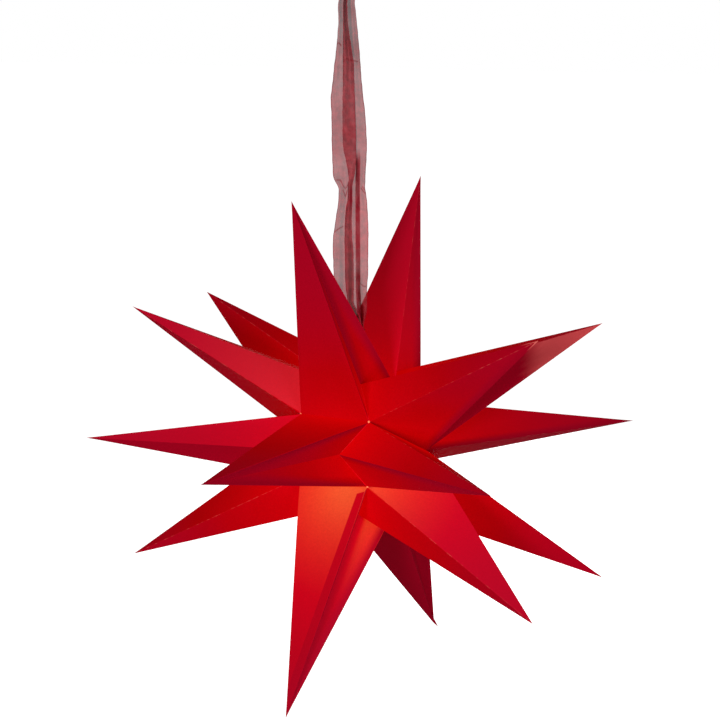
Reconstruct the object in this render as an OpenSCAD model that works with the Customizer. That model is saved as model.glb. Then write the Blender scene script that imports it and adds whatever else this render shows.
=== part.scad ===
// Hanging paper advent star: six columns of three hollow spikes round a level
// axis, glued up from twelve folded card leaves and tied at the top seam with
// an organza ribbon. The axis lies along X, Z is up, and the origin is the
// point inside the hanging loop that rests on the hook.

/* [Spikes] */
// Distance from the star's centre to the tip of a middle-ring spike
middle_tip_r = 300; // [240:5:340]
// Distance from the axis to the tip of a side-ring spike
side_tip_r = 160; // [130:2:190]
// Distance along the axis from the centre to the side-ring tips
side_tip_x = 242; // [200:2:280]
// Distance from the axis to the corners where four spikes meet
corner_r = 67; // [60:1:72]
// Distance along the axis from the centre to those corners
corner_x = 41.5; // [34:0.5:50]
// Distance from the axis to the notch between a middle and a side spike
notch_r = 79; // [75:1:86]
// Distance along the axis from the centre to that notch
notch_x = 19.5; // [14:0.5:26]
// Distance along the axis from the centre to the poles of the star
pole_x = 78; // [66:1:90]

/* [Hang of the card] */
// Angle by which the ribbon draws each top middle spike to the seam
top_draw = 4.5; // [0:0.5:7]
// The same for the top side spikes, which lag behind
top_draw_side = 2; // [0:0.5:7]
// Angle by which the front and back columns rise with the drawn seam
waist_lift = 4.5; // [0:0.5:7]
// Angle by which the two lowest middle spikes are spread apart
bottom_spread = 2.5; // [0:0.5:6]
// The same for the lowest side spikes
bottom_spread_side = 1.5; // [0:0.5:6]
// Share of the small lean that handling has left in each spike, 1 as found
handled = 1; // [0:0.1:1.2]

/* [Card] */
// Thickness of the card
card_t = 0.4; // [0.3:0.05:0.6]
// Radius of the die-cut relief hole where the folds meet at a corner
relief_r = 1.2; // [0.8:0.1:2]
// Diameter of the punched ribbon hole in each cover leaf
ribbon_hole_d = 9; // [7:0.5:12]
// Distance of that hole's centre from the top seam
ribbon_hole_up = 12; // [9:0.5:18]

/* [Ribbon] */
// Width of the organza ribbon lying flat
ribbon_w = 25; // [20:1:28]
// Thickness of one layer of ribbon as modelled
ribbon_t = 0.5; // [0.4:0.1:0.8]
// Height of the lower knot's centre above the star's centre
low_knot_z = 116; // [106:1:124]
// Height of the upper knot's centre above the star's centre
top_knot_z = 515; // [505:1:530]
// Radius of the knots
knot_r = 7; // [6:0.5:8]
// Height of the hanging loop above the upper knot's centre
loop_h = 58; // [50:1:66]
// Width across the inside of the hanging loop at its top
loop_w = 20; // [18:1:24]
// Width of the ribbon gathered in the hanging loop
loop_band_w = 14; // [12:1:16]
// Width of the ribbon gathered in the tie through the punched holes
tie_w = 6; // [5:0.5:6.5]
// Thickness of the ribbon gathered in that tie
tie_t = 1.2; // [1:0.1:1.6]
// Gap that keeps the tie off the card
tie_gap = 0.3; // [0.2:0.05:0.5]
// Turn of the hanging strands about the vertical
strand_turn = 30; // [0:5:45]
// Distance between the middles of the two hanging strands
strand_gap = 3; // [2:0.5:5]

/* [Hidden] */

card_red = "crimson";
columns = 6;
hang_z = top_knot_z + loop_h;

// Ring angle of each column's middle spike, from the front over the top
middle_angle = [waist_lift, 60 + top_draw, 120 - top_draw, 180 - waist_lift,
    240 - bottom_spread, 300 + bottom_spread];
// Ring angle of each column's two side spikes
side_angle = [waist_lift, 60 + top_draw_side, 120 - top_draw_side, 180 - waist_lift,
    240 - bottom_spread_side, 300 + bottom_spread_side];

// Lean of each spike's tip: angle round the axis, way along it and way out
middle_lean = handled * [[0.1, 1, -1], [0.2, 0, 0.5], [0.6, 1, 1], [0, 0, 0], [0, -2, -1.5], [-0.2, 0, 1.5]];
left_lean = handled * [[0, -1.5, 0.5], [-0.2, 1.5, -1], [1.4, -6, -7.5], [0, 0, 0], [0, 0, 0], [1.1, -1, -0.5]];
right_lean = handled * [[-1.2, -6, 1.5], [0.7, 0, 0.5], [2.7, -1, -3.5], [-1.2, 0.5, 0], [0.6, 1.5, 0.5],
    [-0.8, -0.5, 2]];

// Column of each leaf, and the side of the column that it makes, in the order
// in which the leaves lie in the folded stack, from one cover to the other
leaf_column = [1, 1, 0, 0, 5, 5, 4, 4, 3, 3, 2, 2];
leaf_half = [1, -1, 1, -1, 1, -1, 1, -1, 1, -1, 1, -1];

// Points of the folded surface. side is -1 or 1, the end of the axis.
function ring(x, r, angle) = [x, -r * cos(angle), r * sin(angle)];
function boundary_angle(j) = let (a = middle_angle[j], b = middle_angle[(j + 1) % columns])
    (a + b + (b < a ? 360 : 0)) / 2;
function pole(side) = [side * pole_x, 0, 0];
function side_tip(k, side) = let (lean = side < 0 ? left_lean[k] : right_lean[k])
    ring(side * side_tip_x + lean[1], side_tip_r + lean[2], side_angle[k] + lean[0]);
function notch(k, side) = ring(side * notch_x, notch_r, middle_angle[k]);
function middle_tip(k) = let (lean = middle_lean[k])
    ring(lean[1], middle_tip_r + lean[2], middle_angle[k] + lean[0]);
function corner(j, side) = ring(side * corner_x, corner_r, boundary_angle(j));
// The boundary, counted from 0, that the half leaf reaches from its column
function bound(k, half) = (half > 0 ? k : k + columns - 1) % columns;

// Unit vector, and the normal of a facet that looks away from the centre
function unit(v) = v / norm(v);
function outward(a, b, c) = let (n = unit(cross(b - a, c - a))) n * a > 0 ? n : -n;

// Outward normals of the facets of one half leaf that meet at each point
function pole_facet(k, h, s) = outward(pole(s), side_tip(k, s), corner(bound(k, h), s));
function crest_facet(k, h, s) = outward(side_tip(k, s), notch(k, s), corner(bound(k, h), s));
function flank_facet(k, h, s) = outward(notch(k, s), middle_tip(k), corner(bound(k, h), s));
function broad_facet(k, h) = outward(middle_tip(k), corner(bound(k, h), -1), corner(bound(k, h), 1));

// The point that lies one card thickness behind all the facets that meet at p,
// as nearly as one point can: the least-squares solution of n * d = 1
function sum(list, i = 0) = i == len(list) - 1 ? list[i] : list[i] + sum(list, i + 1);
function behind(p, normals) = let (
        b = sum(normals),
        cx = sum([for (n = normals) n * n[0]]),
        cy = sum([for (n = normals) n * n[1]]),
        cz = sum([for (n = normals) n * n[2]]),
        det = cx * cross(cy, cz))
    p - card_t * [b * cross(cy, cz), cx * cross(b, cz), cx * cross(cy, b)] / det;

function pole_in(s) = behind(pole(s), [for (k = [0 : columns - 1], h = [-1, 1]) pole_facet(k, h, s)]);
function side_tip_in(k, s) = behind(side_tip(k, s),
    [for (h = [-1, 1]) each [pole_facet(k, h, s), crest_facet(k, h, s)]]);
function notch_in(k, s) = behind(notch(k, s),
    [for (h = [-1, 1]) each [crest_facet(k, h, s), flank_facet(k, h, s)]]);
function middle_tip_in(k) = behind(middle_tip(k),
    [for (h = [-1, 1]) each [broad_facet(k, h), flank_facet(k, h, -1), flank_facet(k, h, 1)]]);
function corner_in(j, s) = behind(corner(j, s), [for (side = [[j, 1], [(j + 1) % columns, -1]])
    let (k = side[0], h = side[1])
    each [pole_facet(k, h, s), crest_facet(k, h, s), flank_facet(k, h, s), broad_facet(k, h)]]);

// Rim of one leaf from pole to pole over the spikes and back along the
// corners, where the relief holes cut a short step across each fold
function toward(from, to) = from + relief_r * unit(to - from);
function rim(p0, t0, n0, m, n1, t1, p1, c0, c1) = [p0, t0, n0, m, n1, t1, p1,
    toward(c1, p1), toward(c1, t1), toward(c1, n1), toward(c1, m), toward(c1, c0),
    toward(c0, c1), toward(c0, m), toward(c0, n0), toward(c0, t0), toward(c0, p0)];
rim_points = 17;
// Facets between the folds, as places on that rim
facets = [[0, 1, 15, 16], [1, 2, 14, 15], [2, 3, 13, 14], [3, 10, 11, 12, 13],
    [3, 4, 9, 10], [4, 5, 8, 9], [5, 6, 7, 8]];

// One leaf: a die-cut sheet of card folded along its creases, with mitred rims
module leaf(k, h) {
    j = bound(k, h);
    front = rim(pole(-1), side_tip(k, -1), notch(k, -1), middle_tip(k),
        notch(k, 1), side_tip(k, 1), pole(1), corner(j, -1), corner(j, 1));
    back = rim(pole_in(-1), side_tip_in(k, -1), notch_in(k, -1), middle_tip_in(k),
        notch_in(k, 1), side_tip_in(k, 1), pole_in(1), corner_in(j, -1), corner_in(j, 1));
    turned = h > 0;
    rim_faces = [for (i = [0 : rim_points - 1]) let (n = (i + 1) % rim_points)
        each [[i, n, n + rim_points], [i, n + rim_points, i + rim_points]]];
    back_faces = [for (f = facets) [for (i = [len(f) - 1 : -1 : 0]) f[i] + rim_points]];
    faces = concat(facets, back_faces, [for (f = rim_faces) [f[2], f[1], f[0]]]);
    polyhedron(concat(front, back),
        turned ? faces : [for (f = faces) [for (i = [len(f) - 1 : -1 : 0]) f[i]]]);
}

// Middle of the top seam, and the way up the front or back cover from it
seam = [0, 0, corner(1, 1)[2]];
function up_cover(k) = unit(middle_tip(k) - seam);
function hole_at(k) = seam + ribbon_hole_up * up_cover(k);

// A leaf that closes the stack, with its punched hole for the ribbon
module cover_leaf(k, h) {
    lean = atan2(-up_cover(k)[1], up_cover(k)[2]);
    difference() {
        leaf(k, h);
        translate(hole_at(k)) rotate([lean + 90, 0, 0])
            cylinder(d = ribbon_hole_d, h = 20 * card_t, center = true, $fn = 48);
    }
}

module numbered_leaf(i) {
    color(card_red) translate([0, 0, -hang_z])
        if (i == 0 || i == len(leaf_column) - 1) cover_leaf(leaf_column[i], leaf_half[i]);
        else leaf(leaf_column[i], leaf_half[i]);
}

// A flat band carried along stations [x, y, z, width, turn about Z, lean]
// where lean tips the band's thickness from level towards the vertical
function across(s) = [cos(s[4]), sin(s[4]), 0];
function through(s) = [-sin(s[4]) * cos(s[5]), cos(s[4]) * cos(s[5]), sin(s[5])];
module band(stations, t) {
    n = len(stations);
    points = [for (s = stations) let (p = [s[0], s[1], s[2]], w = across(s) * s[3] / 2,
        d = through(s) * t / 2) each [p - w - d, p + w - d, p + w + d, p - w + d]];
    sides = [for (i = [0 : n - 2], q = [0 : 3]) let (r = (q + 1) % 4)
        each [[4 * i + q, 4 * i + 4 + r, 4 * i + r], [4 * i + q, 4 * i + 4 + q, 4 * i + 4 + r]]];
    polyhedron(points, concat([[0, 1, 2, 3]], sides,
        [[4 * n - 1, 4 * n - 2, 4 * n - 3, 4 * n - 4]]));
}

// Stations of a hanging strand as shares: of the way up between the knots, and
// of the ribbon's width for the shift across and for the gathered width. They
// follow how the organza spreads below the upper knot and gathers again.
front_strand = [[0, -0.04, 0.2], [0.05, -0.16, 0.4], [0.085, -0.52, 0.6], [0.123, -0.68, 0.72],
    [0.206, -0.68, 0.8], [0.311, -0.62, 0.76], [0.376, -0.52, 0.62], [0.424, -0.54, 0.88], [0.461, -0.54, 1],
    [0.614, -0.54, 1], [0.709, -0.48, 0.8], [0.787, -0.48, 0.52], [0.86, -0.5, 0.38], [0.937, -0.28, 0.28],
    [1, -0.04, 0.2]];
back_strand = [[0, 0.04, 0.2], [0.05, 0.08, 0.4], [0.085, -0.08, 0.72], [0.123, -0.12, 0.88],
    [0.206, -0.12, 1], [0.311, -0.1, 0.96], [0.376, -0.06, 0.76], [0.424, -0.08, 0.88], [0.461, -0.12, 1],
    [0.614, -0.16, 0.84], [0.709, -0.18, 0.72], [0.787, -0.2, 0.6], [0.86, -0.24, 0.48], [0.937, -0.12, 0.32],
    [1, 0.04, 0.2]];
function strand(rows, depth) = [for (r = rows) let (
        held = r[0] <= 0 || r[0] >= 1,
        d = held ? depth / 3 : depth,
        c = ribbon_w * r[1] * [cos(strand_turn), sin(strand_turn)] + d * [-sin(strand_turn), cos(strand_turn)])
    [c[0], c[1], low_knot_z + r[0] * (top_knot_z - low_knot_z), ribbon_w * r[2], strand_turn, 0]];

// Knot: a barrel with two wraps
module knot(z) {
    translate([0, 0, z]) rotate_extrude($fn = 32)
        polygon(concat([[0, -knot_r], [0.5 * knot_r, -knot_r]],
            [for (a = [-75 : 15 : 75]) [knot_r * (0.62 + 0.38 * cos(a)) , knot_r * (-0.5 + 0.5 * a / 90)]],
            [for (a = [-75 : 15 : 75]) [knot_r * (0.62 + 0.38 * cos(a)) , knot_r * (0.5 + 0.5 * a / 90)]],
            [[0.5 * knot_r, knot_r], [0, knot_r]]));
}

// Stations of a band whose path [y, z] lies in the plane of Y and Z, with its
// thickness square to the path
function in_plane(path, width) = [for (i = [0 : len(path) - 1])
    let (along = path[min(i + 1, len(path) - 1)] - path[max(i - 1, 0)])
    [0, path[i][0], path[i][1], width, 0, atan2(-along[0], along[1])]];
function mirrored(path) = [for (i = [len(path) - 1 : -1 : 0]) [-path[i][0], path[i][1]]];

// Both bands start this far inside their knot
knot_inset = 0.2 * knot_r;

// The tie goes from the lower knot through the front hole, under the seam and
// out of the back hole, clear of the card by tie_gap
module tie() {
    h = hole_at(1);
    slack = ribbon_hole_d / 3;
    under = corner_in(1, 1)[2] - tie_gap - tie_t / 2;
    front = [[-knot_inset, low_knot_z], [-knot_inset, low_knot_z - 0.6 * knot_r],
        [h[1] + slack, h[2] + 4.7 * slack], [h[1] + 0.17 * slack, h[2] + slack],
        [h[1] - 0.27 * slack, h[2] - slack], [h[1] + 0.13 * slack, under + 1.2 * slack],
        [h[1] + 1.2 * slack, under + 0.07 * slack]];
    band(in_plane(concat(front, mirrored(front)), tie_w), tie_t);
}

// The hanging loop above the upper knot, open along X for the hook
module hanging_loop() {
    r = (loop_w + ribbon_t) / 2;
    top = top_knot_z + loop_h - loop_w / 2;
    leg = [[-knot_inset, top_knot_z], [-1.5 * knot_inset, top_knot_z + 1.3 * knot_r],
        [-0.85 * r, top - 1.8 * r], [-r, top]];
    arc = [for (a = [15 : 15 : 165]) [-r * cos(a), top + r * sin(a)]];
    band(in_plane(concat(leg, arc, mirrored(leg)), loop_band_w), ribbon_t);
}

// The organza ribbon, one length: tie, two hanging strands, knots and loop
module ribbon() {
    color("indianred") translate([0, 0, -hang_z]) {
        tie();
        knot(low_knot_z);
        band(strand(front_strand, -strand_gap / 2), ribbon_t);
        band(strand(back_strand, strand_gap / 2), ribbon_t);
        knot(top_knot_z);
        hanging_loop();
    }
}

numbered_leaf(0);  // cover_leaf_front
numbered_leaf(1);  // leaf_02
numbered_leaf(2);  // leaf_03
numbered_leaf(3);  // leaf_04
numbered_leaf(4);  // leaf_05
numbered_leaf(5);  // leaf_06
numbered_leaf(6);  // leaf_07
numbered_leaf(7);  // leaf_08
numbered_leaf(8);  // leaf_09
numbered_leaf(9);  // leaf_10
numbered_leaf(10);  // leaf_11
numbered_leaf(11);  // cover_leaf_back
ribbon();
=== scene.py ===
import math
import bpy
import numpy as np
from mathutils import Matrix, Vector


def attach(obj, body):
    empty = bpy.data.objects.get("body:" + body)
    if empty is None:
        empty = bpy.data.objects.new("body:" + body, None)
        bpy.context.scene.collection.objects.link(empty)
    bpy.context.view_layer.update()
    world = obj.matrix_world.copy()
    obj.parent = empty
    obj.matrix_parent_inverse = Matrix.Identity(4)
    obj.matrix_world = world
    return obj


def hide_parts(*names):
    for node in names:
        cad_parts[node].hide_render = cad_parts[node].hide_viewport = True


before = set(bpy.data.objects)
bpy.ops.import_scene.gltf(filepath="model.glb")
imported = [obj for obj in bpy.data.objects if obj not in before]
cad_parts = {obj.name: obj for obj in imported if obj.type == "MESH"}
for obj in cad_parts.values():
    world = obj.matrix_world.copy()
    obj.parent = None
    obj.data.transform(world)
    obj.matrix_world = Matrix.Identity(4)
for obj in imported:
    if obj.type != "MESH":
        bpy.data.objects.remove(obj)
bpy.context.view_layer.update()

# The folded card. Each leaf is a die-cut sheet whose folds fan out from two
# corners, so its facets are patches between one fold and the next, and each
# fold is a narrow rounded strip between two patches.

HANG = 0.573          # from the star's centre up to the inside of the loop
CARD = 0.0004         # the card's thickness
HOLE = 0.0012         # the relief cut where folds run together
POLE_X = 0.078        # distance from the centre to either end of the level axis
SIDE_X, SIDE_R = 0.242, 0.160
NOTCH_X, NOTCH_R = 0.0195, 0.079
CORNER_X, CORNER_R = 0.0415, 0.067
MIDDLE_R = 0.300
MIDDLE = (4.5, 64.5, 115.5, 175.5, 237.5, 302.5)
SIDE = (4.5, 62.0, 118.0, 175.5, 238.5, 301.5)
MIDDLE_LEAN = ((0.1, 1, -1), (0.2, 0, 0.5), (0.6, 1, 1), (0, 0, 0), (0, -2, -1.5), (-0.2, 0, 1.5))
LEFT_LEAN = ((0, -1.5, 0.5), (-0.2, 1.5, -1), (1.4, -6, -7.5), (0, 0, 0), (0, 0, 0), (1.1, -1, -0.5))
RIGHT_LEAN = ((-1.2, -6, 1.5), (0.7, 0, 0.5), (2.7, -1, -3.5), (-1.2, 0.5, 0), (0.6, 1.5, 0.5),
              (-0.8, -0.5, 2))
FOLD_HALF = 0.0005    # half the width of a rounded fold, and how much wider it is near a corner
FOLD_WIDER = 0.0014
FOLD_EASE = 0.022
FOLD_RUNOUT = 0.014


def unit(v):
    """v / |v|"""
    return v / np.linalg.norm(v, axis=-1, keepdims=True)


def ring(x, r, angle):
    """(x, -r cos angle, r sin angle), a point on a ring round the level axis."""
    return np.array([x, -r * math.cos(math.radians(angle)), r * math.sin(math.radians(angle))])


def between(j):
    """Ring angle halfway from column j's middle spike to the next one's."""
    a, b = MIDDLE[j % 6], MIDDLE[(j + 1) % 6]
    return (a + b + (360 if b < a else 0)) / 2


def outer_points(k, h):
    """The seven rim points P, S, N, M, N, S, P of half h of column k and its two corners."""
    rim = []
    for s, lean in ((-1, LEFT_LEAN[k]), (1, RIGHT_LEAN[k])):
        tip = ring(s * SIDE_X + lean[1] * 0.001, SIDE_R + lean[2] * 0.001, SIDE[k] + lean[0])
        rim.append([ring(s * POLE_X, 0, 0), tip, ring(s * NOTCH_X, NOTCH_R, MIDDLE[k])])
    j = k if h > 0 else k - 1
    corners = [ring(s * CORNER_X, CORNER_R, between(j)) for s in (-1, 1)]
    lean = MIDDLE_LEAN[k]
    middle = ring(lean[1] * 0.001, MIDDLE_R + lean[2] * 0.001, MIDDLE[k] + lean[0])
    return rim[0] + [middle] + rim[1][::-1], corners


def facet_normals(k, h):
    """Outward normals of the seven facets, each the cross product of two of its sides."""
    p, c = outer_points(k, h)
    found = []
    for a, b, d in ((0, 1, 0), (1, 2, 0), (2, 3, 0), (3, None, 0), (3, 4, 1), (4, 5, 1), (5, 6, 1)):
        other = c[1] if b is None else p[b]
        n = unit(np.cross(p[a] - c[d], other - c[d]))
        found.append(n if n @ p[a] > 0 else -n)
    return found


def inner_points(k, h):
    """The rim points and corners one card thickness behind every facet that meets there, where d is the
    least-squares answer to n.d = 1 for their normals."""
    p, c = outer_points(k, h)
    own, mate = facet_normals(k, h), facet_normals(k, -h)
    ends = [[], []]
    for q in range(6):
        for g in (-1, 1):
            f = facet_normals(q, g)
            ends[0].append(f[0])
            ends[1].append(f[6])
    across = facet_normals((k + 1) % 6, -1) if h > 0 else facet_normals((k - 1) % 6, 1)
    groups = [ends[0]] + [[f[i] for f in (own, mate) for i in pair] for pair in
              ((0, 1), (1, 2), (2, 3, 4), (4, 5), (5, 6))] + [ends[1]]
    moved = [q - CARD * np.linalg.lstsq(np.array(g), np.ones(len(g)), rcond=None)[0]
             for q, g in zip(p, groups)]
    corners = [q - CARD * np.linalg.lstsq(np.array([f[i] for f in (own, across) for i in span]),
                                          np.ones(8), rcond=None)[0]
               for q, span in zip(c, ((0, 1, 2, 3), (3, 4, 5, 6)))]
    return moved, corners


def fold_curve(corner, end, into, room, rows):
    """Points F + w d beside the fold from a corner to its end: w = 0.5 mm + 1.4 mm exp(-x / 22 mm), no
    more than the room near the corner and running out to nothing over the last 14 mm."""
    length = np.linalg.norm(end - corner)
    x = HOLE + rows * (length - HOLE)
    w = FOLD_HALF + FOLD_WIDER * np.exp(-x / FOLD_EASE)
    w = np.minimum(w, room * x) * np.clip((length - x) / FOLD_RUNOUT, 0, 1)
    return corner + x[:, None] * unit(end - corner) + w[:, None] * into


def patch(left, right, low, high, bow, normal, rows):
    """Coons patch between four edges, bowed by bow * 16 u(1-u) v(1-v) along its normal."""
    u, v = np.linspace(0, 1, len(low))[None, :, None], rows[:, None, None]
    flat = ((1 - u) * left[:, None] + u * right[:, None] + (1 - v) * low[None] + v * high[None]
            - (1 - u) * (1 - v) * left[0] - u * (1 - v) * right[0]
            - (1 - u) * v * left[-1] - u * v * right[-1])
    return flat + bow * 16 * u * (1 - u) * v * (1 - v) * normal


def beside(points, foot, end):
    """Distance of points from a line, |d - (d.a) a|, and how far along it from its foot they lie, d.a."""
    along, d = unit(end - foot), points - foot
    past = d @ along
    return np.linalg.norm(d - past[..., None] * along, axis=-1), past


def side_of(points, corners, normals, bows, flap, bare, screened, seams, fresh):
    """One side of a leaf as a grid of rows by columns, row spacing r - 0.8 sin(2 pi r) / 2 pi, with what
    its shading needs: distance from the nearest worn fold, normals, how far the card is doubled beside a
    fold, an edge or a seam, which dims the painted glow to a painted shade, the place over a flap that shows
    through as a painted shadow, and each facet's shares of the painted red and warm glow. screened and bare
    give those shares, and fresh the folds that aren't worn."""
    r = np.linspace(0, 1, 44)
    rows = r - 0.8 * np.sin(2 * math.pi * r) / (2 * math.pi)
    lower = [0, 0, 0, None, 1, 1, 1]
    fans = [(corners[0], points[i]) for i in range(4)] + [(corners[1], points[i]) for i in range(3, 7)]
    curves = []
    for i, (c, e) in enumerate(fans):
        along = unit(e - c)
        edge = []
        for f in (i - 1, i):
            if f < 0 or f > 6:
                edge.append(None)
                continue
            inside = fans[i - 1][1] if f == i - 1 else fans[i + 1][1]
            if f == 3:
                inside = corners[1] if i == 3 else corners[0]
            d = inside - c
            d = d - (d @ along) * along
            angle = math.acos(np.clip(unit(inside - c) @ along, -1, 1))
            edge.append((unit(d), 0.3 * math.tan(min(angle, 1.0))))
        room = min(e[1] for e in edge if e)
        rim = edge[0] is None or edge[1] is None
        curves.append([fold_curve(c, e, edge[g][0] if edge[g] else 0 * along, 0 if rim else room, rows)
                       for g in (0, 1)])
    reds = [screened.get(f, 1.0) for f in range(7)]
    blocks, facing, shares = [], [], []
    for f in range(7):
        left, right = curves[f][1], curves[f + 1][0]
        u = np.linspace(0, 1, 13)[:, None]
        if f == 3:
            straight = np.linspace(0, 1, 17)[:, None]
            c0, c1 = corners
            way = unit(c1 - c0)
            arc = [c0 + HOLE * unit((1 - a) * unit(left[0] - c0) + a * way) for a in np.linspace(0, 1, 5)]
            arc_b = [c1 + HOLE * unit((1 - a) * unit(right[0] - c1) - a * way) for a in np.linspace(0, 1, 5)]
            line = arc[-1] + straight * (arc_b[-1] - arc[-1])
            low = np.array([left[0]] + arc[1:-1] + list(line) + arc_b[-2:0:-1] + [right[0]])
            high = np.repeat(left[-1][None], len(low), axis=0)
        else:
            c = corners[lower[f]]
            a, b = left[0] - c, right[0] - c
            reach = (1 - u) * np.linalg.norm(a) + u * np.linalg.norm(b)
            low = c + unit((1 - u) * unit(a) + u * unit(b)) * reach
            high = left[-1] + u * (right[-1] - left[-1])
        grid = patch(left, right, low, high, bows[f], normals[f], rows)
        blocks.append(grid)
        facing.append(np.repeat(normals[f][None], grid.shape[1], axis=0))
        shares.append(np.repeat([[reds[f], float(f in bare)]], grid.shape[1], axis=0))
        if f < 6:
            t = np.linspace(0, 1, 7)[None, 1:-1, None]
            facing.append(unit((1 - t[0]) * normals[f] + t[0] * normals[f + 1]))
            shares.append((1 - t[0]) * [reds[f], f in bare] + t[0] * [reds[f + 1], f + 1 in bare])
            c, e = fans[f + 1]
            middle = fold_curve(c, e, 0 * e, 0, rows)[:, None]
            past_fold = curves[f + 1][1][:, None]
            blocks.append((1 - t) ** 2 * right[:, None] + 2 * t * (1 - t) * middle + t ** 2 * past_fold)
    grid = np.concatenate(blocks, axis=1)
    near = np.min([beside(grid, *fans[i])[0] for i in range(1, 7) if i not in fresh], axis=0)
    starts = np.concatenate([[0], np.cumsum([block.shape[1] for block in blocks])])   # facet f is block 2 f
    # doubled: how far doubled card dims the painted glow, a painted shade in it
    doubled = np.zeros(grid.shape[:2])
    shares = np.repeat(np.concatenate(shares)[None], len(grid), axis=0)
    shown = np.stack([np.ones(grid.shape[:2]), np.zeros(grid.shape[:2])], axis=-1)
    for block, line in ((4, fans[3]), (8, fans[4])):
        place = slice(starts[block], starts[block + 1])
        doubled[:, place] = np.clip((0.012 - beside(grid[:, place], *line)[0]) / 0.009, 0, 1)
    if flap == "behind the broad facet":
        place = slice(starts[6], starts[7])
        off, past = beside(grid[:, place], *fans[4])
        shown[:, place] = np.stack([off, past - 0.6 * off], axis=-1)
        doubled[:, starts[7]:starts[8]] = 0.9
    for f, line in ((0, fans[0]), (6, fans[7])):
        place = slice(starts[2 * f], starts[2 * f + 1])
        doubled[:, place] = 0.8 * np.clip((0.005 - beside(grid[:, place], *line)[0]) / 0.004, 0, 1)
    # A painted shadow band along each glued seam, where the card is doubled
    for f, strength in seams.items():
        place = slice(starts[2 * f], starts[2 * f + 1])
        off = beside(grid[:, place], points[f], points[f + 1] if f < 3 else points[f - 1])[0]
        band = strength * np.clip((0.010 - off) / 0.008, 0, 1)
        doubled[:, place] = np.maximum(doubled[:, place], band)
        shares[:, place, 1] *= 1 - np.clip((0.013 - off) / 0.006, 0, 1)
    return grid, near, np.concatenate(facing), doubled, shown, shares


def red_light(points, facing):
    """Painted lamp light through the card, a glow painted as emission with no lamp in the scene: 0.0095 cos /
    (d^2
    + 0.16^2) from the lamp and 0.0040 / (d^2 + 0.09^2) scattered inside the star, each d from its own centre."""
    away = points - np.array([-0.015, 0.023, -0.094])
    distance = np.linalg.norm(away, axis=-1)
    slant = np.clip((away * facing).sum(axis=-1) / distance, 0, 1)
    inside = points - np.array([0.015, 0.006, -0.006])
    straight = 0.0095 * slant / (distance ** 2 + 0.16 ** 2)
    return straight + 0.0040 / ((inside ** 2).sum(axis=-1) + 0.09 ** 2)


def warm_light(points):
    """Painted orange glow where the card is nearest the lamp, 0.00019 / (d^2 + 0.042^2) - 0.0117, or none."""
    away = points - np.array([0.0162, -0.0538, -0.0339])
    return np.clip(0.00019 / ((away ** 2).sum(axis=-1) + 0.042 ** 2) - 0.0117, 0, None)


# For each leaf: a glue flap that shows through as a painted shadow in the glow, and the facets with nothing
# between them and the lamp
FLAPS = {"leaf_05": ("behind the broad facet", (3, 6)), "leaf_06": ("", (3, 4))}
# The facets with a painted shadow band along their glued seam, where the doubled card dims the painted glow,
# and by how much
SEAMS = {"leaf_06": {4: 0.7}, "leaf_02": {6: 0.9}, "leaf_04": {5: 0.9}, "leaf_10": {6: 1.1},
         "cover_leaf_front": {4: 0.9}}
# The folds that aren't worn pale
FRESH = {"leaf_05": (4,), "leaf_07": (3, 4), "leaf_08": (3, 4), "leaf_03": (4,), "leaf_04": (4,),
         "leaf_02": (4,), "cover_leaf_front": (4,)}
# The share of the red light that reaches a facet, where it isn't the whole
SCREENED = {"leaf_07": {2: 0.2, 3: 0.12, 4: 0.02}, "leaf_08": {2: 0.2, 3: 0.2, 4: 0.1}, "leaf_04": {1: 0.5},
            "leaf_10": {5: 0.1, 6: 0.7}, "leaf_09": {5: 0.1, 6: 0.1}, "cover_leaf_back": {0: 1.7, 6: 0.12},
            "leaf_02": {0: 0.8, 3: 0.9}, "leaf_03": {4: 0.82}}
# A painted highlight on a facet: which facet, how pale, and from where to where along X it comes in
PAINTED_HIGHLIGHTS = {"cover_leaf_back": (6, 1.0, 0.168, 0.182), "leaf_02": (1, 0.25, -0.20, -0.05)}
CHIPPED = {"leaf_02": 5}              # the side spike whose tip is knocked white
CHIP_LENGTH = 0.0046
CURLED = ("leaf_07", "leaf_08")       # the two leaves whose middle tip is bent over
CURL_LENGTH = 0.009
CURL = np.array([0.0040, 0.0024, -0.0036])
FACING_UP = (0.32, -0.72, 0.62)       # where the card's two painted sheens look
FACING_RIGHT = (0.87, -0.45, 0.20)
SHARP = math.radians(34)              # folds steeper than this stay sharp


def grid_quads(at):
    """Four-sided faces between the neighbours in a grid of point numbers."""
    return np.stack([at[:-1, :-1], at[:-1, 1:], at[1:, 1:], at[1:, :-1]], axis=-1).reshape(-1, 4)


def keep_pairs(mesh, pairs):
    """UV maps that hold, under each name, one pair of values for every vertex."""
    corner_vertex = np.zeros(len(mesh.loops), dtype=np.int32)
    mesh.loops.foreach_get("vertex_index", corner_vertex)
    for label, values in pairs.items():
        layer = mesh.uv_layers.new(name=label)
        layer.uv.foreach_set("vector", values[corner_vertex].astype(np.float32).ravel())


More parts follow.
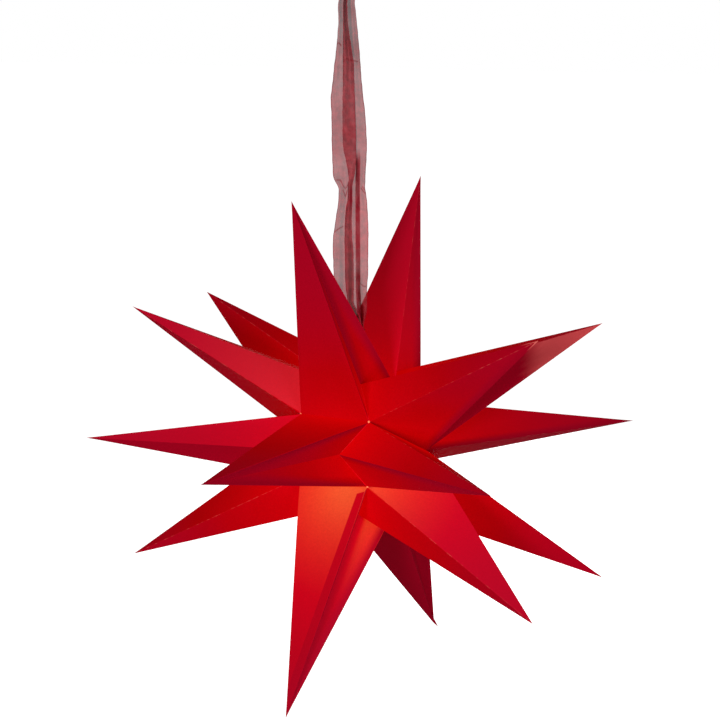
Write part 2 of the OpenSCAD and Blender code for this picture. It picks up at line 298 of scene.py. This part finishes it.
def leaf_mesh(name, k, h, seed):
    """A leaf's outer and inner grids with its four rims between them, all closed."""
    shape = np.random.default_rng(seed)
    bows = shape.normal(0, 0.0005, 7)
    normals = facet_normals(k, h)
    flap, bare = FLAPS.get(name, ("", ()))
    made_of = (normals, bows, flap, bare, SCREENED.get(name, {}), SEAMS.get(name, {}),
               FRESH.get(name, ()))
    outer, near, facing, doubled, shown, shares = side_of(*outer_points(k, h), *made_of)
    inner, near_in = side_of(*inner_points(k, h), *made_of)[:2]
    red, warm = red_light(outer, facing[None]) * shares[..., 0], warm_light(outer) * shares[..., 1]
    # A painted highlight: paler towards one end of a facet
    facet, share, start, full = PAINTED_HIGHLIGHTS.get(name, (0, 0, 0, 1))
    on_facet = (facing @ normals[facet] > 0.999)[None]
    painted_highlight = share * on_facet * np.clip((outer[..., 0] - start) / (full - start), 0, 1)
    # Painted sheen: facets facing up to the front or to the right are painted paler and cooler, as if they
    # caught the lamps
    above = np.clip((facing @ FACING_UP - 0.86) / 0.12, 0, 1)
    aside = 0.85 * np.clip((facing @ FACING_RIGHT - 0.92) / 0.07, 0, 1)
    painted_sheen = np.maximum(above, aside) * np.clip(shares[..., 0], 0, 1) ** 2
    chip = np.zeros(outer.shape[:2])
    if name in CHIPPED:
        from_tip = np.linalg.norm(outer - outer_points(k, h)[0][CHIPPED[name]], axis=-1)
        chip = np.clip((CHIP_LENGTH - from_tip) / 0.001, 0, 1)
    if name in CURLED:
        tip = outer_points(k, h)[0][3]
        for side in (outer, inner):
            close = np.clip(1 - np.linalg.norm(side - tip, axis=-1) / CURL_LENGTH, 0, 1) ** 2
            side += close[..., None] * CURL
    n, m = outer.shape[:2]
    points = np.concatenate([outer.reshape(-1, 3), inner.reshape(-1, 3)]) - [0, 0, HANG]
    at = np.arange(n * m).reshape(n, m)
    quads = grid_quads(at)
    loop = np.concatenate([at[0, :], at[1:, -1], at[-1, -2::-1], at[-2:0:-1, 0]])
    after = np.roll(loop, -1)
    rims = np.stack([loop, loop + n * m, after + n * m, after], axis=-1)
    faces = np.concatenate([quads, quads[:, ::-1] + n * m, rims])
    first = quads[len(quads) // 2]
    out = np.cross(points[first[1]] - points[first[0]], points[first[2]] - points[first[0]])
    if out @ (points[first[0]] + [0, 0, HANG]) < 0:
        faces = faces[:, ::-1]
    _, first_use, place = np.unique(np.round(points, 7), axis=0, return_index=True, return_inverse=True)
    place = place.reshape(-1)
    kept = []
    for face in place[faces]:
        ring_of = [int(face[i]) for i in range(4) if face[i] != face[i - 1]]
        if len(ring_of) > 2:
            kept.append(ring_of)
    mesh = bpy.data.meshes.new(name)
    mesh.from_pydata(points[first_use].tolist(), [], kept)
    mesh.update()
    mesh.shade_smooth()
    mesh.set_sharp_from_angle(angle=SHARP)
    inward = np.repeat([0.0, 1.0], n * m)
    # Doubled card dims the painted glow: a painted shade
    red, warm = red * (1 - 0.75 * doubled), warm * np.clip(1 - doubled, 0, 1)
    # Painted shade: the share of a cooler, darker colour where the painted glow is weak
    painted_shade_share = np.clip((0.17 - red) / 0.11, 0, 1)
    data = {"Folds": np.stack([np.concatenate([near.ravel(), near_in.ravel()]), inward], axis=1),
            "Glow": np.stack([np.tile(red.ravel(), 2), np.tile(warm.ravel(), 2)], axis=1),
            "Flap": np.tile(shown.reshape(-1, 2), (2, 1)),
            "Fade": np.stack([np.tile(painted_highlight.ravel(), 2), np.tile(chip.ravel(), 2)], axis=1),
            "Sheen": np.stack([np.tile(painted_sheen.ravel(), 2), np.tile(painted_shade_share.ravel(), 2)], axis=1)}
    keep_pairs(mesh, {label: values[first_use] for label, values in data.items()})
    return mesh


def leaf_object(name, k, h, seed, card):
    """The leaf in the row frame, in place of its CAD node."""
    obj = bpy.data.objects.new(name + "_card", leaf_mesh(name, k, h, seed))
    bpy.context.scene.collection.objects.link(obj)
    obj.data.materials.append(card)
    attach(obj, "root")
    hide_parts(name)
    return obj


def node(tree, kind, links=(), **values):
    """A shader node with its settings, its input values and its input links."""
    made = tree.nodes.new(kind)
    for key, value in values.items():
        if key in made.inputs:
            made.inputs[key].default_value = value
        else:
            setattr(made, key, value)
    for key, source in dict(links).items():
        tree.links.new(source, made.inputs[key])
    return made


def noise(tree, place, scale, detail):
    """Cloudy noise from 0 to 1, with that many cells to a metre."""
    made = node(tree, "ShaderNodeTexNoise", {"Vector": place})
    made.inputs["Scale"].default_value = scale
    made.inputs["Detail"].default_value = detail
    return made.outputs["Fac"]


def ranged(tree, value, low, high, at_low, at_high):
    """The value taken from low..high to at_low..at_high in a straight line, and no further."""
    made = node(tree, "ShaderNodeMapRange", {"Value": value})
    for key, number in (("From Min", low), ("From Max", high), ("To Min", at_low), ("To Max", at_high)):
        made.inputs[key].default_value = number
    return made.outputs["Result"]


def combined(tree, how, first, second):
    """Two values combined by one operation, where the second may be a plain number."""
    made = node(tree, "ShaderNodeMath", {0: first}, operation=how)
    if isinstance(second, float):
        made.inputs[1].default_value = second
    else:
        tree.links.new(second, made.inputs[1])
    return made.outputs[0]


def blended(tree, share, first, second):
    """first (1 - share) + second share, where either may be a plain colour."""
    made = node(tree, "ShaderNodeMix", data_type="RGBA")
    tree.links.new(share, made.inputs["Factor"])
    for socket, colour in ((6, first), (7, second)):
        if isinstance(colour, tuple):
            made.inputs[socket].default_value = colour
        else:
            tree.links.new(colour, made.inputs[socket])
    return made.outputs[2]


def pair_of(tree, name):
    """The two values that one of the piece's UV maps holds."""
    vector = node(tree, "ShaderNodeUVMap", uv_map=name).outputs["UV"]
    made = node(tree, "ShaderNodeSeparateXYZ", {"Vector": vector})
    return made.outputs["X"], made.outputs["Y"]


def card_material():
    """Dyed card: crimson with cloudy dye and fine fibres, a painted cooler shade where the painted glow is
    weak, a painted sheen, a painted highlight at one end, paler worn folds and cut edges, a chipped tip, and
    a glow from inside painted as emission."""
    mat = bpy.data.materials.new("dyed_card")
    mat.use_nodes = True
    tree = mat.node_tree
    shader = tree.nodes["Principled BSDF"]
    place = node(tree, "ShaderNodeTexCoord").outputs["Object"]
    fold_off, inner_side = pair_of(tree, "Folds")
    red_glow, warm_glow = pair_of(tree, "Glow")
    flap_off, flap_past = pair_of(tree, "Flap")
    painted_highlight_share, chip = pair_of(tree, "Fade")
    painted_sheen_share, painted_shade_share = pair_of(tree, "Sheen")

    dye = node(tree, "ShaderNodeValToRGB", {"Fac": noise(tree, place, 14, 4)})
    dye.color_ramp.elements[0].position = 0.3
    dye.color_ramp.elements[0].color = (0.280, 0.0002, 0.0026, 1)
    dye.color_ramp.elements[1].position = 0.7
    dye.color_ramp.elements[1].color = (0.320, 0.0004, 0.0046, 1)
    fibres = noise(tree, place, 900, 3)
    mottle = ranged(tree, fibres, 0.3, 0.7, 0.94, 1.05)
    tinted = node(tree, "ShaderNodeVectorMath", {0: dye.outputs["Color"], 1: mottle}, operation="MULTIPLY")
    # Painted shade: cooler and darker where little painted glow comes through
    with_painted_shade = blended(tree, painted_shade_share, tinted.outputs["Vector"], (0.290, 0.0010, 0.0125, 1))
    # Painted sheen: a paler, cooler colour on the facets that face the lamps
    with_painted_sheen = blended(tree, combined(tree, "MULTIPLY", painted_sheen_share, mottle), with_painted_shade, (0.385, 0.003, 0.020, 1))
    # Painted highlight: a pale pink towards the facet's lit end
    painted_highlight = blended(tree, combined(tree, "MULTIPLY", painted_highlight_share, mottle), with_painted_sheen, (0.50, 0.055, 0.060, 1))

    wear = ranged(tree, fold_off, 0.0001, 0.0006, 1, 0)
    patchy = ranged(tree, noise(tree, place, 160, 3), 0.50, 0.68, 0.02, 0.42)
    worn = combined(tree, "MULTIPLY", wear, patchy)
    past_outside = combined(tree, "GREATER_THAN", inner_side, 0.02)
    short_of_inside = combined(tree, "LESS_THAN", inner_side, 0.98)
    cut_edge = combined(tree, "MULTIPLY", past_outside, short_of_inside)
    pale_edge = combined(tree, "MULTIPLY", cut_edge, 0.3)
    pale = combined(tree, "MAXIMUM", combined(tree, "MAXIMUM", worn, pale_edge), chip)
    tree.links.new(blended(tree, pale, painted_highlight, (0.72, 0.15, 0.13, 1)), shader.inputs["Base Color"])

    height = combined(tree, "ADD", combined(tree, "MULTIPLY", fibres, 0.06), noise(tree, place, 22, 2))
    bump = node(tree, "ShaderNodeBump", {"Height": height})
    bump.inputs["Strength"].default_value = 0.25
    bump.inputs["Distance"].default_value = 0.0012
    tree.links.new(bump.outputs["Normal"], shader.inputs["Normal"])
    shader.inputs["Roughness"].default_value = 0.6
    shader.inputs["Specular IOR Level"].default_value = 0.002

    # The painted glow as emission, red and warm: over a flap it is halved or cut off, a painted shadow
    in_flap = ranged(tree, flap_off, 0.0098, 0.0090, 0, 1)
    past_end = ranged(tree, flap_past, 0.0040, 0.0048, 0, 1)
    over_flap = combined(tree, "MULTIPLY", in_flap, past_end)
    uneven = ranged(tree, noise(tree, place, 480, 4), 0.3, 0.7, 0.90, 1.10)
    red_part = combined(tree, "MULTIPLY", red_glow, ranged(tree, over_flap, 0, 1, 1, 0.5))
    warm_part = combined(tree, "MULTIPLY", warm_glow, ranged(tree, over_flap, 0, 1, 1, 0))
    red = combined(tree, "MULTIPLY", red_part, uneven)
    warm = combined(tree, "MULTIPLY", warm_part, uneven)
    through = node(tree, "ShaderNodeCombineXYZ", {
        "X": combined(tree, "ADD", red, combined(tree, "MULTIPLY", warm, 0.5)),
        "Y": warm,
        "Z": combined(tree, "MULTIPLY", warm, 0.20)})
    # Painted lamp light: the card's inner side glows orange
    inside = combined(tree, "GREATER_THAN", inner_side, 0.98)
    emitted = blended(tree, inside, through.outputs["Vector"], (1.0, 0.30, 0.14, 1))
    tree.links.new(emitted, shader.inputs["Emission Color"])
    shader.inputs["Emission Strength"].default_value = 1
    return mat


CARD_MATERIAL = card_material()
LEAVES = {"cover_leaf_front": (1, 1), "leaf_02": (1, -1), "leaf_03": (0, 1), "leaf_04": (0, -1),
          "leaf_05": (5, 1), "leaf_06": (5, -1), "leaf_07": (4, 1), "leaf_08": (4, -1),
          "leaf_09": (3, 1), "leaf_10": (3, -1), "leaf_11": (2, 1), "cover_leaf_back": (2, -1)}
for number, (name, (k, h)) in enumerate(LEAVES.items()):
    leaf_object(name, k, h, 40 + number, CARD_MATERIAL)

# The two punched holes. Each cover leaf has a 9 mm hole in its broad facet, with
# its centre 12 mm up from the top seam, for the ribbon that ties the star shut.

PUNCH_R = 0.0045
HOLE_UP = 0.012
PUNCH_REACH = 0.004
PUNCH_SIDES = 48


def punch(name, k):
    """The leaf less a round punch: circle c + r (cos a e + sin a f), 8 mm long square to the broad facet."""
    obj = bpy.data.objects[name + "_card"]
    seam = np.array([0, 0, CORNER_R])
    up_card = unit(outer_points(k, 1)[0][3] - seam)
    square = unit(np.cross([1.0, 0, 0], up_card))
    across = np.cross(up_card, square)
    a = np.linspace(0, 2 * math.pi, PUNCH_SIDES, endpoint=False)[:, None]
    circle = seam + HOLE_UP * up_card + PUNCH_R * (np.cos(a) * across + np.sin(a) * up_card) - [0, 0, HANG]
    points = np.concatenate([circle - PUNCH_REACH * square, circle + PUNCH_REACH * square])
    i = np.arange(PUNCH_SIDES)
    after = (i + 1) % PUNCH_SIDES
    sides = np.stack([i, after, after + PUNCH_SIDES, i + PUNCH_SIDES], axis=1).tolist()
    mesh = bpy.data.meshes.new("punch")
    mesh.from_pydata(points.tolist(), [], sides + [i[::-1].tolist(), (i + PUNCH_SIDES).tolist()])
    tool = bpy.data.objects.new("punch", mesh)
    bpy.context.scene.collection.objects.link(tool)
    cut = obj.modifiers.new("hole", "BOOLEAN")
    cut.operation, cut.solver, cut.object = "DIFFERENCE", "EXACT", tool
    made = bpy.data.meshes.new_from_object(obj.evaluated_get(bpy.context.evaluated_depsgraph_get()))
    obj.modifiers.clear()
    obj.data = made
    made.set_sharp_from_angle(angle=SHARP)
    bpy.data.objects.remove(tool)


punch("cover_leaf_front", 1)
punch("cover_leaf_back", 2)

# The organza ribbon: two hanging strands, sheer and crinkled, gathered into the
# knots at both ends, a tie through the punched holes and a loop for the hook.

RIBBON = 0.025
LOWER_KNOT_Z, UPPER_KNOT_Z = 0.116, 0.515
KNOT_R, KNOT_HALF = 0.0066, 0.0070
ACROSS = np.array([math.cos(math.radians(30)), math.sin(math.radians(30)), 0])
TOWARD = np.array([math.sin(math.radians(30)), -math.cos(math.radians(30)), 0])


def ripple_for(span, waves):
    """The ripple height a at which the profile (span u, a sin 2 pi waves u) is as long as the ribbon is
    wide."""
    u = np.linspace(0, 1, 81)[None]
    low, high = np.zeros(len(span)), np.full(len(span), 0.02)
    for _ in range(24):
        a = (low + high) / 2
        slope = 2 * math.pi * waves * a[:, None] * np.cos(2 * math.pi * waves * u)
        length = np.sqrt(span[:, None] ** 2 + slope ** 2).mean(axis=1)
        high = np.where(length > RIBBON, a, high)
        low = np.where(length > RIBBON, low, a)
    return (low + high) / 2


def smoothed(heights, rows, column):
    """A column of the measured edge table at every height, eased by two running means of 4 mm."""
    table = np.array(rows)
    values = np.interp(heights, table[:, 0] * 0.001, table[:, column] * 0.001)
    step = heights[1] - heights[0]
    reach = max(1, int(0.002 / step))
    box = np.ones(2 * reach + 1) / (2 * reach + 1)
    for _ in range(2):
        values = np.convolve(np.pad(values, reach, mode="edge"), box, mode="valid")
    return values


def crumple(u, s, seed, count=60):
    """Creases pressed into the cloth: the sum of random folded waves |sin|, sharp along their lines."""
    pick = np.random.default_rng(seed)
    total = np.zeros(np.broadcast(u, s).shape)
    for _ in range(count):
        angle = pick.uniform(0, math.pi)
        pitch = pick.uniform(0.006, 0.020)
        here_u, here_s = pick.uniform(-0.013, 0.013), pick.uniform(s.min(), s.max())
        size = pick.uniform(0.006, 0.022)
        along = (u - here_u) * math.cos(angle) + (s - here_s) * math.sin(angle)
        fade = np.exp(-((u - here_u) ** 2 + (s - here_s) ** 2) / size ** 2)
        total += fade * np.abs(np.sin(math.pi * along / pitch + pick.uniform(0, 3))) * pitch * 0.05
    return total


def near_line(x, z, line):
    """Distance in millimetres from each point to a crease drawn as a polyline."""
    best = np.full(np.broadcast(x, z).shape, 99.0)
    for (ax, az), (bx, bz) in zip(line[:-1], line[1:]):
        dx, dz = bx - ax, bz - az
        t = np.clip(((x - ax) * dx + (z - az) * dz) / (dx * dx + dz * dz), 0, 1)
        best = np.minimum(best, np.hypot(x - ax - t * dx, z - az - t * dz))
    return best


def ribbon_part(name, mesh, cloth):
    """A mesh as one of the ribbon's pieces."""
    obj = bpy.data.objects.new(name, mesh)
    bpy.context.scene.collection.objects.link(obj)
    obj.data.materials.append(cloth)
    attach(obj, "root")
    return obj


def cloth_piece(name, points, dense, cloth):
    """A grid of cloth as one mesh, with the denser places and the way across in its UV map."""
    n, m = points.shape[:2]
    mesh = bpy.data.meshes.new(name)
    mesh.from_pydata(points.reshape(-1, 3).tolist(), [], grid_quads(np.arange(n * m).reshape(n, m)).tolist())
    mesh.update()
    mesh.shade_smooth()
    u, s = np.meshgrid(np.linspace(0, 1, m), np.linspace(0, 1, n))
    keep_pairs(mesh, {"Weave": np.stack([u.ravel(), s.ravel()], axis=1),
                      "Dense": np.stack([dense.ravel(), u.ravel()], axis=1)})
    return ribbon_part(name, mesh, cloth)


def hanging_strand(name, rows, way, waves, seed, creases, strip, cloth):
    """A strand between its left and right edges, rippled so that its cloth is as wide as the ribbon."""
    z = np.linspace(LOWER_KNOT_Z, UPPER_KNOT_Z, 571)
    left, right = smoothed(z, rows, 1), smoothed(z, rows, 2)
    pick = np.random.default_rng(seed)
    for edge in (left, right):
        edge += sum(0.00007 * np.sin(2 * math.pi * z / p + pick.uniform(0, 6)) for p in (0.011, 0.019, 0.037))
    span = np.minimum(right - left, RIBBON * 0.998)
    height = ripple_for(span, waves)[:, None]
    u = np.linspace(0, 1, 61)[None]
    phase = 1.3 * np.sin(z / 0.09 + seed)[:, None] + seed
    x = left[:, None] + (right - left)[:, None] * u
    depth = way * (0.0008 + height) + height * np.sin(2 * math.pi * waves * u + phase)
    depth = depth + crumple((u - 0.5) * RIBBON, z[:, None], seed)
    dense = np.zeros_like(x)
    for line in creases:
        off = near_line(x * 1000, z[:, None] * 1000, line)
        dense = np.maximum(dense, np.exp(-(off / 0.45) ** 2))
        depth = depth + way * 0.0006 * np.exp(-(off / 1.1) ** 2)
    for centre, half, low, high, strength in strip:
        middle = np.interp(z * 1000, *zip(*centre))[:, None]
        inside = np.clip((half - np.abs(x * 1000 - middle)) / 0.5 + 0.5, 0, 1)
        ends = np.clip((z * 1000 - low) / 12, 0, 1) * np.clip((high - z * 1000) / 12, 0, 1)
        dense = np.maximum(dense, strength * inside * ends[:, None])
    points = x[..., None] * ACROSS + depth[..., None] * TOWARD + z[:, None, None] * np.array([0, 0, 1.0])
    return cloth_piece(name, points - [0, 0, HANG], dense, cloth)


def gathered_band(name, path, width, waves, seed, cloth):
    """The ribbon gathered to a band along a path in the plane of Y and Z, level across."""
    path = np.array(path)
    steps = np.r_[0, np.cumsum(np.linalg.norm(np.diff(path, axis=0), axis=1))]
    s = np.linspace(0, steps[-1], 160)
    line = np.stack([np.interp(s, steps, path[:, i]) for i in (0, 1)], axis=1)
    for _ in range(3):
        line[1:-1] = (line[:-2] + 2 * line[1:-1] + line[2:]) / 4
    along = unit(np.gradient(line, axis=0))
    out = np.stack([-along[:, 1], along[:, 0]], axis=1)
    u = np.linspace(0, 1, 61)[None]
    span = np.interp(s, *zip(*[(a * steps[-1], b) for a, b in width]))
    height = ripple_for(span, waves)[:, None]
    lift = height * np.sin(2 * math.pi * waves * u + seed + 1.5 * np.sin(s / 0.02)[:, None])
    lift = lift + crumple((u - 0.5) * RIBBON, s[:, None], seed, 20) * 0.4
    x = span[:, None] * (u - 0.5)
    points = np.stack([x, line[:, :1] + lift * out[:, :1], line[:, 1:] + lift * out[:, 1:]], axis=-1)
    return cloth_piece(name, points - [0, 0, HANG], np.zeros_like(x), cloth)


def knot_piece(name, z, seed, cloth):
    """A pulled knot: r = R sin(v)^0.55 (0.72 + 0.26 |cos|^0.7) round slanting wraps, with small pleats."""
    a, v = np.meshgrid(np.linspace(0, 2 * math.pi, 97), np.linspace(0, math.pi, 49))
    wraps = np.abs(np.cos(2.0 * (v - math.pi / 2) + 0.5 * np.sin(a + seed))) ** 0.7
    pleats = 0.04 * np.sin(17 * a + 6 * v + seed) + 0.03 * np.sin(29 * a - 4 * v)
    r = KNOT_R * np.sin(v) ** 0.55 * (0.72 + 0.26 * wraps) * (1 + pleats)
    points = np.stack([r * np.cos(a), r * np.sin(a), z - KNOT_HALF * np.cos(v)], axis=-1)
    points[0, :] = points[0].mean(axis=0)
    points[-1, :] = points[-1].mean(axis=0)
    n, m = a.shape
    at = np.arange(n * (m - 1)).reshape(n, m - 1)
    at = np.concatenate([at, at[:, :1]], axis=1)
    at[0, :], at[-1, :] = at[0, 0], at[-1, 0]
    faces = []
    for i in range(n - 1):
        for j in range(m - 1):
            face = [int(at[i, j]), int(at[i, j + 1]), int(at[i + 1, j + 1]), int(at[i + 1, j])]
            face = [q for i_q, q in enumerate(face) if q != face[i_q - 1]]
            faces.append(face)
    mesh = bpy.data.meshes.new(name)
    mesh.from_pydata((points[:, :-1].reshape(-1, 3) - [0, 0, HANG]).tolist(), [], faces)
    mesh.update()
    mesh.shade_smooth()
    count = len(mesh.vertices)
    keep_pairs(mesh, {"Weave": np.tile([0.5, 0.5], (count, 1)), "Dense": np.tile([1.0, 0.5], (count, 1))})
    return ribbon_part(name, mesh, cloth)


def organza_material():
    """Sheer organza: a thin weave that lets a sixth of the light through, closer at the woven edges and in
    pressed creases, with a blotchy silk look."""
    mat = bpy.data.materials.new("organza")
    mat.use_nodes = True
    tree = mat.node_tree
    shader = tree.nodes["Principled BSDF"]
    weave = node(tree, "ShaderNodeUVMap", uv_map="Weave").outputs["UV"]
    up_strand = pair_of(tree, "Weave")[1]
    pressed, across = pair_of(tree, "Dense")
    place = node(tree, "ShaderNodeTexCoord").outputs["Object"]
    threads = node(tree, "ShaderNodeTexWave", {"Vector": weave}, bands_direction="X")
    threads.inputs["Scale"].default_value = 24
    threads.inputs["Distortion"].default_value = 0.6
    off_middle = combined(tree, "SUBTRACT", across, 0.5)
    edge_far = node(tree, "ShaderNodeMath", {0: off_middle}, operation="ABSOLUTE").outputs[0]
    close = combined(tree, "MAXIMUM", pressed, ranged(tree, edge_far, 0.462, 0.485, 0, 1))

    blotch = ranged(tree, noise(tree, place, 170, 4), 0.35, 0.68, 0, 1)
    silk = blended(tree, blotch, (0.26, 0.012, 0.022, 1), (0.43, 0.024, 0.038, 1))
    deep = blended(tree, close, silk, (0.28, 0.006, 0.018, 1))
    # Painted light and shade: the ribbon lighter low on the strands, near the star, and darker higher up
    painted_light_by_height = ranged(tree, up_strand, 0.24, 0.50, 1.14, 0.74)
    silk_with_painted_light = node(tree, "ShaderNodeVectorMath", {0: deep, 1: painted_light_by_height}, operation="MULTIPLY")
    tree.links.new(silk_with_painted_light.outputs["Vector"], shader.inputs["Base Color"])

    cover = ranged(tree, noise(tree, place, 35, 2), 0.3, 0.7, 0.80, 0.86)
    woven = combined(tree, "ADD", cover, combined(tree, "MULTIPLY", threads.outputs["Fac"], 0.03))
    closer = combined(tree, "MULTIPLY", close, 0.15)
    alpha = node(tree, "ShaderNodeMath", {0: woven, 1: closer}, operation="ADD", use_clamp=True)
    tree.links.new(alpha.outputs[0], shader.inputs["Alpha"])
    shader.inputs["Roughness"].default_value = 0.45
    shader.inputs["Specular IOR Level"].default_value = 0.15
    return mat


ORGANZA = organza_material()
LEFT_STRAND = [(116, -3.5, 1.5), (127, -5, 2), (138, -11, 0), (150, -22, -6.5), (165, -26.4, -6),
               (176, -26.7, -6), (202, -27.2, -5.6), (219, -27, -7), (227, -25.7, -7),
               (235, -24.4, -7), (246, -22.4, -6.8), (257, -20.7, -5.9), (270, -19.9, -5.8),
               (275, -21.7, -5.4), (279.6, -24.3, -4.6), (284, -25.7, -3.5), (300, -26.1, -1.3),
               (316, -26.3, -1.2), (349, -26.2, -1.4), (365, -26.7, -1.9), (380, -24.4, -2),
               (399, -22, -2.3), (420, -19.2, -5), (439, -17.3, -7.7), (459, -17.4, -8),
               (490, -10.5, -3.5), (515, -3.5, 1.5)]
RIGHT_STRAND = [(116, -1.5, 3.5), (127, -2, 4), (138, -6, 7), (150, -12.5, 7.4), (165, -14.6, 7.7),
                (178, -14.9, 9), (202, -14.9, 9.6), (219, -14.9, 9.9), (231, -14.5, 10.2),
                (238, -14.2, 9.9), (249, -13.1, 9.5), (257, -11.2, 9), (266, -10.7, 8),
                (271, -10.7, 7.4), (281, -9.4, 7.8), (289, -10.3, 8.2), (300, -12.3, 9.1),
                (309, -14.3, 9.8), (316, -15, 9.9), (330, -15, 9.4), (349, -14.9, 8.6),
                (365, -14.3, 6.6), (399, -13.5, 4.3), (420, -13.1, 3.1), (439, -12.7, 1.4),
                (459, -12.4, -0.3), (490, -7, 1), (515, -1.5, 3.5)]
front_strand = hanging_strand(
    "front_strand", LEFT_STRAND, 1, 2.2, 1, [
        [(-22.4, 280), (-17.9, 279.4), (-15.6, 274), (-13.4, 271), (-11.6, 272.5), (-9.3, 277)],
        [(-15.7, 269), (-13.1, 262.7), (-11.2, 269)], [(-24.5, 226.5), (-19.2, 229.8), (-15.8, 232)],
        [(-12.3, 401), (-9.2, 404.2), (-7, 401.5), (-3.6, 402)], [(-21, 418), (-17, 420), (-15, 417)]],
    [([(116, -4), (240, -7.5), (262, -7.3), (280, -6), (515, -3)], 1.9, 246, 281, 0.9)], ORGANZA)
back_strand = hanging_strand(
    "back_strand", RIGHT_STRAND, -1, 2.2, 4, [
        [(3.2, 270.3), (5.5, 267), (7.6, 264.6)], [(4.2, 272), (6.4, 269), (8, 268)],
        [(0.5, 171), (3.4, 168), (6.9, 166.8)], [(-5, 402), (-3.2, 401.6), (-0.6, 401), (1.4, 400.2)]],
    [([(116, 0), (165, -1.6), (198, -1.2), (266, -0.5), (300, 0.4), (515, 0)], 2.4, 112, 312, 0.95)], ORGANZA)
tie_half = [(-0.0014, LOWER_KNOT_Z), (-0.0014, 0.1118), (-0.0034, 0.0913), (-0.0059, 0.0802),
            (-0.0072, 0.0742), (-0.0060, 0.0692), (-0.0028, 0.0658)]
tie = gathered_band("tie", tie_half + [(-y, z) for y, z in tie_half[::-1]],
                    [(0, 0.005), (0.25, 0.0062), (0.5, 0.0058), (0.75, 0.0062), (1, 0.005)], 3.5, 5, ORGANZA)
lower_knot = knot_piece("lower_knot", LOWER_KNOT_Z, 1, ORGANZA)
upper_knot = knot_piece("upper_knot", UPPER_KNOT_Z, 3, ORGANZA)
LOOP_R, LOOP_Z = 0.01025, 0.563
turns = [math.radians(a) for a in range(15, 180, 15)]
arc = [(-LOOP_R * math.cos(a), LOOP_Z + LOOP_R * math.sin(a)) for a in turns]
leg = [(-0.0015, UPPER_KNOT_Z), (-0.002, 0.524), (-0.00875, 0.545), (-LOOP_R, LOOP_Z)]
loop = gathered_band("hanging_loop", leg + arc + [(-y, z) for y, z in leg[::-1]],
                     [(0, 0.006), (0.15, 0.010), (0.35, 0.0135), (0.65, 0.0135), (0.85, 0.010), (1, 0.006)],
                     2.5, 2, ORGANZA)
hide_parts("ribbon")

# Floor and light: a pale floor far enough below that no shadow comes into the
# picture, broad soft lamps in front, as flat as the photo's, and one behind.

floor_mat = bpy.data.materials.new("stage_floor")
floor_mat.use_nodes = True
floor_tree = floor_mat.node_tree
floor_shader = floor_tree.nodes["Principled BSDF"]
floor_shader.inputs["Base Color"].default_value = (0.62, 0.62, 0.62, 1)
ray = node(floor_tree, "ShaderNodeLightPath").outputs
seen = combined(floor_tree, "MAXIMUM", ray["Is Camera Ray"], ray["Is Glossy Ray"])
seen = combined(floor_tree, "MAXIMUM", seen, ray["Is Transmission Ray"])
brighten = combined(floor_tree, "MULTIPLY", seen, 0.85)
floor_tree.links.new(brighten, floor_shader.inputs["Emission Strength"])
floor_shader.inputs["Emission Color"].default_value = (1, 1, 1, 1)
bpy.ops.mesh.primitive_plane_add(size=30, location=(0, 0, -1.15))
floor = bpy.context.object
floor.name = "stage_floor"
floor.data.materials.append(floor_mat)

world = bpy.data.worlds.new("studio")
bpy.context.scene.world = world
world.use_nodes = True
sky = world.node_tree.nodes["Background"]
path = node(world.node_tree, "ShaderNodeLightPath")
level = ranged(world.node_tree, path.outputs["Is Camera Ray"], 0, 1, 0.33, 1.0)
world.node_tree.links.new(level, sky.inputs["Strength"])
sky.inputs["Color"].default_value = (1, 1, 1, 1)

AIM = Vector((0, 0, -0.55))
LAMPS = (("key", (0.28, -2.25, -0.25), 25, 0.5), ("side", (2.3, -1.0, -0.5), 23, 1.2),
         ("rear", (-0.9, 2.3, -0.3), 20, 1.0))
for label, where, power, size in LAMPS:
    lamp = bpy.data.lights.new(label, "AREA")
    lamp.energy = power
    lamp.size = size
    holder = bpy.data.objects.new(label, lamp)
    bpy.context.scene.collection.objects.link(holder)
    holder.location = where
    holder.rotation_euler = (AIM - Vector(where)).to_track_quat("-Z", "Y").to_euler()

bpy.context.scene.view_settings.view_transform = "Standard"

# Camera: azimuth 30.8 degrees, 11.4 degrees up, rolled 0.9 degrees, 2.14 m off.

azimuth, elevation, roll = math.radians(30.8), math.radians(11.4), math.radians(0.9)
back = Vector((math.sin(azimuth) * math.cos(elevation), -math.cos(azimuth) * math.cos(elevation),
               math.sin(elevation)))
level_right = Vector((math.cos(azimuth), math.sin(azimuth), 0))
level_up = back.cross(level_right)
right = level_right * math.cos(roll) - level_up * math.sin(roll)
up = back.cross(right)
camera = bpy.data.objects.new("camera", bpy.data.cameras.new("camera"))
bpy.context.scene.collection.objects.link(camera)
spot = Vector((0, 0, -HANG)) - 0.00215 * right + 0.0872 * up + 2.1415 * back
camera.matrix_world = Matrix(((right.x, up.x, back.x, spot.x), (right.y, up.y, back.y, spot.y),
                              (right.z, up.z, back.z, spot.z), (0, 0, 0, 1)))
camera.data.lens = 100.8
camera.data.sensor_width = 36
camera.data.clip_start = 0.05
camera.data.clip_end = 60
bpy.context.scene.camera = camera
